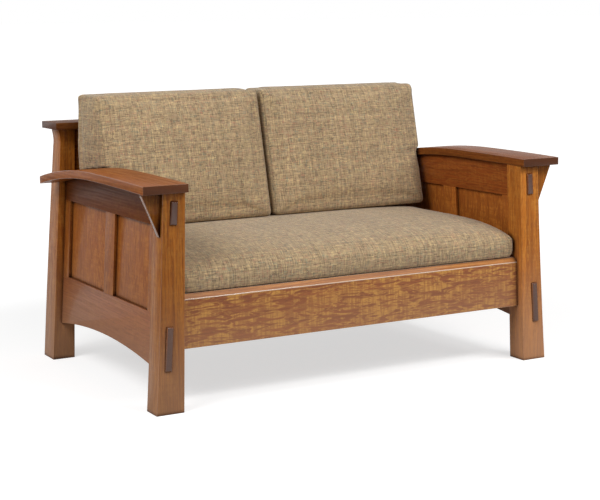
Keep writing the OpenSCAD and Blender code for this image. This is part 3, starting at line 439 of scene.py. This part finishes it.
# Seat cushion, in mm: half width, front, back, top of the slats, crown, and how far the top falls to each edge
SEAT_HALF, SEAT_FRONT, SEAT_BACK, SEAT_FOOT, SEAT_CROWN = 589.0, 32.0, 806.0, 338.6, 462.0
SEAT_FALL_FRONT, SEAT_FALL_ENDS, SEAT_FALL_BACK = 43.0, 16.0, 14.0


def seat_top(u, v):
    """Height of the seat cushion's top at shares u and v of the way from its middle to its edges: the crown less a
    power of u toward the ends, one of v toward the front and one toward the back."""
    return (SEAT_CROWN - SEAT_FALL_ENDS * np.abs(u) ** 5 - SEAT_FALL_FRONT * np.maximum(0, -v) ** 3.5
            - SEAT_FALL_BACK * np.maximum(0, v) ** 5)


def seat_cushion():
    """Bench cushion: rings of a rounded square that shrink over the flat bottom, climb the wall, turn over a rolled
    edge and shrink again over the crowned top. The ends are cut to the outline of the middle, so their edges stay
    crisp where the front rolls. The walls pull in by 3 mm halfway between the corners."""
    steps = 360
    x, y = round_square(0.02, steps)
    half_d, mid = (SEAT_BACK - SEAT_FRONT) / 2, (SEAT_BACK + SEAT_FRONT) / 2
    roll = 8 + 30 * np.maximum(0, -y) ** 6 * (1 - np.abs(x) ** 14)
    pull = 3 * (1 - np.minimum(np.abs(x), np.abs(y)) ** 2)
    edge = seat_top(x, y) - roll
    rings = []
    for share in np.linspace(0.06, 1, 14):
        rings.append((x * (SEAT_HALF - 12) * share, y * (half_d - 12) * share, np.full(steps, SEAT_FOOT)))
    for climb, inset in ((0.03, 8), (0.1, 4.5), (0.25, 1.5), (0.45, 0), (0.65, 0), (0.85, 0)):
        rings.append((x * (SEAT_HALF - inset - pull), y * (half_d - inset - pull),
                      SEAT_FOOT + (edge - SEAT_FOOT) * climb))
    for turn in np.linspace(0, pi / 2, 9):
        inset = 1 - np.cos(turn)
        px, py = x * (SEAT_HALF - 8 * inset - pull), y * (half_d - roll * inset - pull)
        rings.append((px, py, seat_top(px / SEAT_HALF, py / half_d) - roll * (1 - np.sin(turn))))
    for share in np.linspace(0.97, 0.03, 32):
        px, py = x * (SEAT_HALF - 8 - pull) * share, y * (half_d - roll - pull) * share
        rings.append((px, py, seat_top(px / SEAT_HALF, py / half_d)))
    rings = np.stack([np.stack(ring, -1) for ring in rings]) + (0, mid - MIDDLE_Y, 0)
    front, back = np.argmin(np.abs(x) + np.abs(y + 1)), np.argmin(np.abs(x) + np.abs(y - 1))
    poles = (0, mid - MIDDLE_Y, SEAT_FOOT), (0, mid - MIDDLE_Y, SEAT_CROWN)
    return closed_skin("seat_cushion_tweed", rings, *poles, front, back)


# Back cushions, in mm: outer half width, foot, height, the top's back and front places, how far the front and the back
# face lean, the front's crown, the parting's place left of the middle, and the arm's crown and thickness
BACK_WIDE, BACK_FOOT, BACK_HIGH, BACK_REAR, BACK_FACE = 582.0, 462.6, 420.6, 776.0, 634.0
BACK_LEAN, BACK_REAR_LEAN, BACK_CROWN, PARTING, ARM_CROWN, ARM_THICK = 98.0, 44.0, 14.0, 15.0, 665.0, 24.0

# How far the arm's crest is behind the front posts' front face, and how far the arm falls behind it over what length,
# in mm
ARM_CREST, ARM_FALL, ARM_RUN = 370, 50, 470
# Place of the arm's inner edge with its clearance, and the gap between cloth and arm, in m
ARM_INNER, CLOTH_GAP = 0.5835, 0.0004


def arm_top(y):
    """Height of an arm's top face at the place y, in mm: its crown less its fall times the square of the share of the
    way back from its crest."""
    return ARM_CROWN - ARM_FALL * ((y - ARM_CREST) / ARM_RUN) ** 2


def back_cushion(side):
    """One back cushion, for side 1 on the right or -1 on the left: rings of a rounded square that shrink over the
    leaning back, come forward over its edges and shrink again over the crowned front. Its outer end bulges over the
    arm, more at the back than at the front, and a little below it, so that the arm nips it between the two."""
    steps = 320
    x, z = round_square(0.055, steps)
    inner = -PARTING + 0.2 if side > 0 else PARTING + 0.2
    half_w, half_h = (BACK_WIDE - inner) / 2, BACK_HIGH / 2
    mid_x, mid_z = inner + half_w, BACK_FOOT + half_h
    rear_turn, front_turn = 18, 24

    def bulge(pz, share):
        """How far the outer end stands past its plain width at a height, at the back (share 0) or the front (1): 29 mm
        over the arm's back and less toward its front, 13 mm more low down, and 4 mm under the arm."""
        arm = arm_top(plane(pz, share))
        low = smooth((BACK_FOOT + BACK_HIGH - pz) / (BACK_FOOT + BACK_HIGH - ARM_CROWN))
        over = (29 * (1 - 0.55 * share) + 13 * (1 - share) * low) * smooth((pz - arm + 1) / 4)
        return over + 4 * smooth((arm - ARM_THICK - 6 - pz) / 40)

    def spot(inset, scale, share):
        """Place in X and Z of a ring drawn in by inset and shrunk to scale, with the bulge of its outer end."""
        pz = mid_z + z * (half_h - inset) * scale
        return mid_x + x * (half_w - inset) * scale + smooth(np.maximum(0, x) * scale) * bulge(pz, share), pz

    def plane(pz, share):
        """Place of the back face (share 0) or the front face (1), or between them, at a height."""
        fall = 1 - (pz - BACK_FOOT) / BACK_HIGH
        return (BACK_REAR - BACK_REAR_LEAN * fall) * (1 - share) + (BACK_FACE - BACK_LEAN * fall) * share

    rings = []
    for scale in np.linspace(0.05, 1, 16):
        px, pz = spot(rear_turn, scale, 0)
        rings.append((px, plane(pz, 0), pz))
    for turn in np.linspace(pi / 14, pi / 2, 7):
        px, pz = spot(rear_turn * (1 - np.sin(turn)), 1, 0)
        rings.append((px, plane(pz, 0) - rear_turn * (1 - np.cos(turn)), pz))
    for share in np.linspace(0.2, 0.8, 8):
        px, pz = spot(2.5 * np.sin(share * pi), 1, share)
        rings.append((px, plane(pz, share), pz))
    for turn in np.linspace(0, pi / 2, 9):
        px, pz = spot(front_turn * (1 - np.cos(turn)), 1, 1)
        rings.append((px, plane(pz, 1) + front_turn * (1 - np.sin(turn)), pz))
    for scale in np.linspace(0.97, 0.03, 28):
        px, pz = spot(front_turn, scale, 1)
        crown = BACK_CROWN * (1 - np.abs(x * scale) ** 3.5) * (1 - np.abs(z * scale) ** 3.5)
        rings.append((px, plane(pz, 1) - crown, pz))
    place = (0, -MIDDLE_Y, 0)
    rings = (np.stack([np.stack(ring, -1) for ring in rings]) + place) * (side, 1, 1)
    first, last = (np.array((mid_x, plane(mid_z, share) - BACK_CROWN * share, mid_z)) + place
                   for share in (0, 1))
    low, high = np.argmin(np.abs(x) + np.abs(z + 1)), np.argmin(np.abs(x) + np.abs(z - 1))
    name = "back_cushion_right_tweed" if side > 0 else "back_cushion_left_tweed"
    return closed_skin(name, rings, first * (side, 1, 1), last * (side, 1, 1), low, high)


def inflated(pieces, voxel=0.006, travel=0.006, sink=0.001, inset=0.0015):
    """Blows the cushions up as air and foam do: each is drawn in along its normals by inset, gets an even net of
    voxels and swells against its own cloth for 20 frames. No point moves past travel or sinks by more than sink, the
    underside stays flat, and each cushion is stretched back to the box that it had."""
    scene = bpy.context.scene
    starts = {}
    for piece in pieces:
        points, normals = read_points(piece.data)
        box = points.min(axis=0), points.max(axis=0)
        piece.data.vertices.foreach_set("co", (points - normals * inset).ravel())
        net = piece.modifiers.new("net", "REMESH")
        net.mode, net.voxel_size = "VOXEL", voxel
        settle(piece)
        starts[piece.name] = box, *read_points(piece.data)
        cloth = piece.modifiers.new("cloth", "CLOTH")
        cloth.settings.quality = 4
        cloth.settings.mass = 0.35
        cloth.settings.tension_stiffness = cloth.settings.compression_stiffness = 12
        cloth.settings.bending_stiffness = 1.5
        cloth.settings.use_pressure = True
        cloth.settings.uniform_pressure_force = 4
        cloth.settings.effector_weights.gravity = 0
        cloth.point_cache.frame_start, cloth.point_cache.frame_end = 1, 20
    for step in range(1, 21):
        scene.frame_set(step)
    for piece in pieces:
        settle(piece)
        box, start, normals = starts[piece.name]
        moved = read_points(piece.data)[0] - start
        length = np.linalg.norm(moved, axis=1, keepdims=True)
        moved *= np.minimum(1, travel / np.maximum(length, 1e-9))
        outward = np.sum(moved * normals, axis=1, keepdims=True)
        moved += normals * np.maximum(0, -sink - outward)
        points = start + np.where(normals[:, 2:] < -0.7, 0, moved)
        low, high = points.min(axis=0), points.max(axis=0)
        points = box[0] + (points - low) / (high - low) * (box[1] - box[0])
        piece.data.vertices.foreach_set("co", clear_of_arms(points).ravel())
    scene.frame_set(1)


def clear_of_arms(points):
    """Points of a cushion kept off the arms: those up to 9 mm under an arm's top face rest on it, and those deeper in
    it go back past its inner edge."""
    x, y, z = points.T.copy()
    top = arm_top(y / MM + MIDDLE_Y) * MM
    over = (np.abs(x) > ARM_INNER) & (z < top + CLOTH_GAP) & (z > top - (ARM_THICK + 0.4) * MM)
    rests = over & (z > top - 0.009)
    z = np.where(rests, top + CLOTH_GAP, z)
    x = np.where(over & ~rests, np.sign(x) * ARM_INNER, x)
    return np.stack([x, y, z], 1)


def settle(piece):
    """Makes a piece's modifiers part of its mesh."""
    ready = piece.evaluated_get(bpy.context.evaluated_depsgraph_get())
    piece.data = bpy.data.meshes.new_from_object(ready)
    piece.modifiers.clear()


def read_points(mesh):
    """The mesh's points and their normals, as two arrays."""
    points, normals = np.empty(len(mesh.vertices) * 3), np.empty(len(mesh.vertices) * 3)
    mesh.vertices.foreach_get("co", points)
    mesh.vertex_normals.foreach_get("vector", normals)
    return points.reshape(-1, 3), normals.reshape(-1, 3)


def wrap_weave(piece, section):
    """Lays the cloth's own coordinates on a cushion: across it the place along X, and round it the arc length along
    section, its outline in Y and Z, at the nearest point of it. The third is how nearly the surface faces along X."""
    points, normals = read_points(piece.data)
    step = np.linalg.norm(np.diff(section, axis=0), axis=1)
    length = np.concatenate([[0], np.cumsum(step)])
    round_it = np.empty(len(points))
    for part in np.array_split(np.arange(len(points)), max(1, len(points) // 4000)):
        gap = np.linalg.norm(points[part, None, 1:] - section[None], axis=2)
        round_it[part] = length[np.argmin(gap, axis=1)]
    weave = np.stack([points[:, 0], round_it, np.abs(normals[:, 0])], 1)
    laid = piece.data.attributes.new("weave", "FLOAT_VECTOR", "POINT")
    laid.data.foreach_set("vector", weave.astype(np.float32).ravel())


tweed = wool_tweed()
CUSHIONS = {"seat_cushion": seat_cushion(), "back_cushion_left": back_cushion(-1),
            "back_cushion_right": back_cushion(1)}
inflated([piece for piece, _ in CUSHIONS.values()])
for node, (piece, section) in CUSHIONS.items():
    piece.data.polygons.foreach_set("use_smooth", np.ones(len(piece.data.polygons), dtype=bool))
    piece.data.materials.append(tweed)
    wrap_weave(piece, section)
    smooth_skin = piece.modifiers.new("smooth_skin", "SUBSURF")
    smooth_skin.levels = smooth_skin.render_levels = 1
    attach(piece, node)
    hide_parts(node)


# Stage, lights and camera

def seen_directly(m):
    """1 for the camera, glossy and transmission rays that see the backdrop itself, and 0 for those that carry its light
    to matt surfaces."""
    path = add(m, "LightPath").outputs
    seen = add(m, "Math", {0: path["Is Camera Ray"], 1: path["Is Glossy Ray"]}, operation="MAXIMUM").outputs[0]
    return add(m, "Math", {0: seen, 1: path["Is Transmission Ray"]}, operation="MAXIMUM").outputs[0]


def paper_floor():
    """Matt white paper that takes the loveseat's shadow. A glow that only the camera and reflections see lifts it
    toward the backdrop's white, the more so away from the loveseat, where the paper runs up into the backdrop."""
    m = new_material("white_paper")
    place = add(m, "TexCoord").outputs["Object"]
    away = add(m, "VectorMath", {0: place}, operation="LENGTH").outputs["Value"]
    lift = add(m, "MapRange", {"Value": away, "From Min": 1.0, "From Max": 3.5, "To Min": 0.62, "To Max": 1.0},
               interpolation_type="SMOOTHSTEP").outputs[0]
    glow = add(m, "Math", {0: seen_directly(m), 1: lift}, operation="MULTIPLY").outputs[0]
    matt = add(m, "BsdfDiffuse", {"Color": linear("#c6c6c6")}).outputs[0]
    lit = add(m, "Emission", {"Color": (1, 1, 1, 1), "Strength": glow}).outputs[0]
    both = add(m, "AddShader", {0: matt, 1: lit}).outputs[0]
    add(m, "OutputMaterial", {"Surface": both})
    return m


# The floor reaches this far each way, in m, so that its edge lies at the horizon
REACH = 300
floor_mesh = bpy.data.meshes.new("studio_floor")
floor_mesh.from_pydata([(-REACH, -REACH, 0), (REACH, -REACH, 0), (REACH, REACH, 0), (-REACH, REACH, 0)], [],
                       [(0, 1, 2, 3)])
floor_mesh.materials.append(paper_floor())
floor = bpy.data.objects.new("studio_floor", floor_mesh)
bpy.context.collection.objects.link(floor)

world = bpy.data.worlds.new("studio")
world.use_nodes = True
bpy.context.scene.world = world
world.node_tree.nodes.clear()
# The backdrop looks white, and lights the loveseat with 0.23 of that
strength = add(world, "MapRange", {"Value": seen_directly(world), "To Min": 0.23, "To Max": 1.0}).outputs[0]
backdrop = add(world, "Background", {"Color": (1, 1, 1, 1), "Strength": strength}).outputs[0]
add(world, "OutputWorld", {"Surface": backdrop})


def soft_box(name, place, aim, width, height, power):
    """An area lamp at place, turned to aim."""
    lamp = bpy.data.lights.new(name, "AREA")
    lamp.shape, lamp.size, lamp.size_y, lamp.energy = "RECTANGLE", width, height, power
    box = bpy.data.objects.new(name, lamp)
    bpy.context.collection.objects.link(box)
    box.matrix_world = looking(place, aim, 0.0)


def looking(place, aim, roll):
    """The matrix of a camera or lamp at place that looks at aim, turned clockwise by roll radians."""
    ahead = np.array(aim, float) - np.array(place, float)
    ahead /= np.linalg.norm(ahead)
    right = np.cross(ahead, (0, 0, 1))
    right /= np.linalg.norm(right)
    up = np.cross(right, ahead)
    c, s = np.cos(roll), np.sin(roll)
    turn = np.eye(4)
    turn[:3, 0], turn[:3, 1], turn[:3, 2] = c * right + s * up, c * up - s * right, -ahead
    turn[:3, 3] = place
    return Matrix(turn.tolist())


# Place, aim, width and height in m, and power in W
soft_box("key", (1.3, -3.0, 3.6), (0.1, 0, 0.4), 2.3, 0.9, 112)
soft_box("glint", (3.0, -3.1, 2.6), (0.3, -0.3, 0.4), 1.6, 0.4, 32)
soft_box("fill", (-2.7, -1.2, 3.2), (-0.2, 0, 0.5), 1.5, 1.5, 58)
soft_box("side", (-3.0, -0.3, 2.4), (-0.7, 0, 0.35), 1.4, 1.2, 30)

# The photograph's camera, fitted to the posts, arms, rails and cap: place and aim in m, roll in radians, focal length
# and sensor width in mm
VIEW_PLACE, VIEW_AIM, VIEW_ROLL = (-2.28788, -4.20042, 1.11814), (0.00007, -0.05354, 0.36555), -0.01344
FOCAL_LENGTH, SENSOR_WIDTH = 88.27, 36.0
lens = bpy.data.cameras.new("photo_view")
lens.lens, lens.sensor_width, lens.sensor_fit = FOCAL_LENGTH, SENSOR_WIDTH, "HORIZONTAL"
camera = bpy.data.objects.new("photo_view", lens)
bpy.context.collection.objects.link(camera)
camera.matrix_world = looking(VIEW_PLACE, VIEW_AIM, VIEW_ROLL)
bpy.context.scene.camera = camera
bpy.context.scene.view_settings.view_transform = "Standard"
